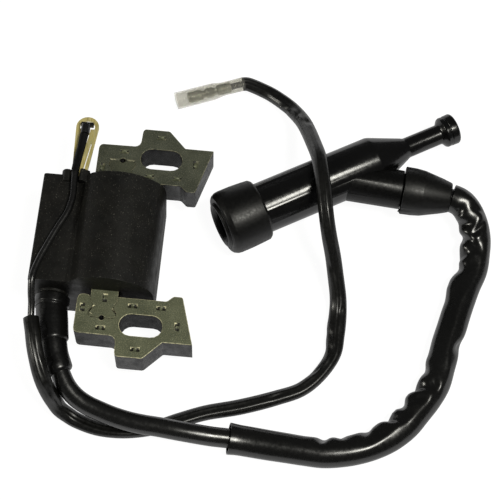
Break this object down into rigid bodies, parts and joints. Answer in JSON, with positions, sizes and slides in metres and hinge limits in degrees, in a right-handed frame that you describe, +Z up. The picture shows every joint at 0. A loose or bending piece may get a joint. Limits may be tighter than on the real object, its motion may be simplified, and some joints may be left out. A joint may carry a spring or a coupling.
{
  "type": "magneto ignition coil",
  "caption": "Flywheel-magneto ignition coil of a small engine, with laminated core, potted black case, high-tension lead, spark-plug cap and stop lead.",
  "frame": {"origin": "centre of the footprint of the coil itself (core, case, strain relief and stop terminal) at the level of the case back, which is the surface it lies on; the free leads and the cap are left out of it", "axes": "+X from the case towards the pole faces, +Y along the core bar towards the stop terminal end, +Z up from the potted case back through the lamination stack"},
  "size_m": [0.1509, 0.1416, 0.0314],
  "materials": {
    "core_steel": "satin, laminated edges",
    "case_black": "moulded, fine grain",
    "resin": "poured epoxy",
    "bobbin": "moulded",
    "copper": "enamelled copper wire",
    "board_green": "lacquered board",
    "chip_black": "moulded package",
    "resistor_body": "matt ceramic",
    "tinned": "tin plated",
    "yellow_plated": "yellow passivated",
    "brass": "machined",
    "boot_black": "semi-gloss",
    "cap_black": "polished phenolic",
    "lead_black": "glossy jacket",
    "vinyl_black": "thin vinyl sleeving",
    "wire_black": "wire insulation",
    "clear_vinyl": "translucent",
    "spring_steel": "bright"
  },
  "bodies": {
    "coil": {"core_leg_upper": "core_steel", "core_leg_lower": "core_steel", "core_bar": "core_steel", "coil_case": "case_black", "potting_resin": "resin", "primary_bobbin": "bobbin", "primary_winding": "copper", "secondary_bobbin": "bobbin", "secondary_winding": "copper", "module_board": "board_green", "power_transistor": "chip_black", "trigger_chip": "chip_black", "clamp_diode": "chip_black", "bias_resistor": "resistor_body", "ground_strap": "tinned", "ht_terminal_pin": "brass", "stop_terminal": "yellow_plated", "stop_wire_hook": "wire_black", "ht_boot": "boot_black", "ht_lead": "lead_black", "ht_sleeve": "vinyl_black", "stop_wire": "wire_black", "stop_sleeve": "vinyl_black", "bullet_terminal": "tinned", "cap_body": "cap_black", "cap_lead_boot": "boot_black", "cap_plug_contact": "brass", "cap_snap_ring": "spring_steel", "cap_contact_spring": "spring_steel", "cap_resistor": "resistor_body", "cap_lead_screw": "brass"},
    "plug_boot": {"cap_plug_boot": "boot_black"},
    "wire_sleeve": {"connector_sleeve": "clear_vinyl"}
  },
  "joints": [
    {"name": "plug_boot_slide", "type": "slide", "parent": "coil", "child": "plug_boot", "axis": [-0.8621, -0.5068, 0], "range_m": [0, 0.006]},
    {"name": "connector_sleeve_slide", "type": "slide", "parent": "coil", "child": "wire_sleeve", "axis": [-0.9252, -0.3794, 0], "range_m": [0, 0.012]}
  ]
}
